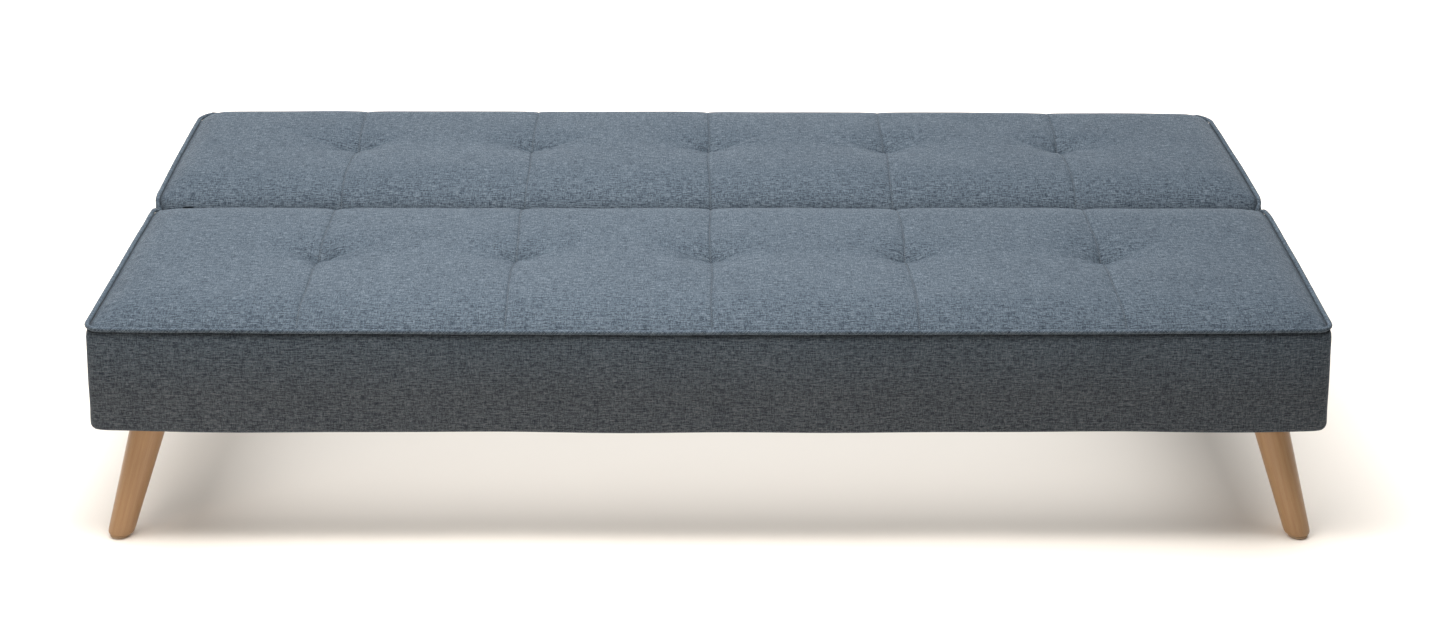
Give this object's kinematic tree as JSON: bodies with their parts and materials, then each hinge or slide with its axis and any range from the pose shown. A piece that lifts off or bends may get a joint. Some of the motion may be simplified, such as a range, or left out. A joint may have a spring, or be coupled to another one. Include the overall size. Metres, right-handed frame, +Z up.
{
  "type": "futon sofa bed",
  "caption": "Sofa bed with a padded, tufted seat and back laid flat as a bed; the back folds up on ratchet hinges over splayed wooden legs.",
  "frame": {"origin": "on the floor, in the middle of the bed's outline", "axes": "+X along the bed to its right end as seen from the seat's front edge, +Y from the seat to the back, +Z up"},
  "size_m": [1.8006, 0.9865, 0.36],
  "materials": {
    "upholstery": "heathered linen-look weave",
    "piping": "the same weave over cord",
    "foam": "open-cell foam",
    "dust_cloth": "non-woven cloth",
    "webbing": "elastic strap",
    "timber": "rough sawn pine",
    "leg_wood": "clear satin lacquer",
    "black_steel": "black powder coat",
    "zinc": "zinc plated",
    "spring_steel": "oiled wire",
    "glide_plastic": "moulded, matt"
  },
  "bodies": {
    "seat": {"base_beam_left": "black_steel", "base_beam_right": "black_steel", "base_crossbar_front": "black_steel", "base_crossbar_rear": "black_steel", "frame_bolt_front_left": "zinc", "frame_bolt_front_right": "zinc", "frame_bolt_rear_left": "zinc", "frame_bolt_rear_right": "zinc", "glide_front_left": "glide_plastic", "glide_front_right": "glide_plastic", "glide_rear_left": "glide_plastic", "glide_rear_right": "glide_plastic", "hanger_bolt_front_left": "zinc", "hanger_bolt_front_right": "zinc", "hanger_bolt_rear_left": "zinc", "hanger_bolt_rear_right": "zinc", "leg_front_left": "leg_wood", "leg_front_right": "leg_wood", "leg_plate_front_left": "black_steel", "leg_plate_front_right": "black_steel", "leg_plate_rear_left": "black_steel", "leg_plate_rear_right": "black_steel", "leg_rear_left": "leg_wood", "leg_rear_right": "leg_wood", "pawl_pin_left": "zinc", "pawl_pin_right": "zinc", "pawl_spring_left": "spring_steel", "pawl_spring_right": "spring_steel", "pivot_pin_left": "zinc", "pivot_pin_right": "zinc", "seat_cover": "upholstery", "seat_dust_cover": "dust_cloth", "seat_foam": "foam", "seat_front_rail": "timber", "seat_hinge_plate_left": "black_steel", "seat_hinge_plate_right": "black_steel", "seat_middle_rail_left": "timber", "seat_middle_rail_right": "timber", "seat_piping": "piping", "seat_rear_rail": "timber", "seat_side_rail_left": "timber", "seat_side_rail_right": "timber", "seat_springs": "spring_steel"},
    "back": {"back_cover": "upholstery", "back_dust_cover": "dust_cloth", "back_foam": "foam", "back_front_rail": "timber", "back_hinge_plate_left": "black_steel", "back_hinge_plate_right": "black_steel", "back_middle_rail_left": "timber", "back_middle_rail_right": "timber", "back_piping_left": "piping", "back_piping_right": "piping", "back_rear_rail": "timber", "back_side_rail_left": "timber", "back_side_rail_right": "timber", "back_webbing": "webbing"},
    "pawl_left": {"pawl_left": "zinc"},
    "pawl_right": {"pawl_right": "zinc"}
  },
  "joints": [
    {"name": "back_recline", "type": "hinge", "parent": "seat", "child": "back", "pos_m": [0, 0.03, 0.318], "axis": [1, 0, 0], "range_deg": [0, 75]},
    {"name": "pawl_left_pivot", "type": "hinge", "parent": "seat", "child": "pawl_left", "pos_m": [-0.8487, -0.006, 0.285], "axis": [1, 0, 0], "range_deg": [0, 8], "stiffness_Nm_per_rad": 0.05},
    {"name": "pawl_right_pivot", "type": "hinge", "parent": "seat", "child": "pawl_right", "pos_m": [0.8487, -0.006, 0.285], "axis": [1, 0, 0], "range_deg": [0, 8], "stiffness_Nm_per_rad": 0.05}
  ]
}
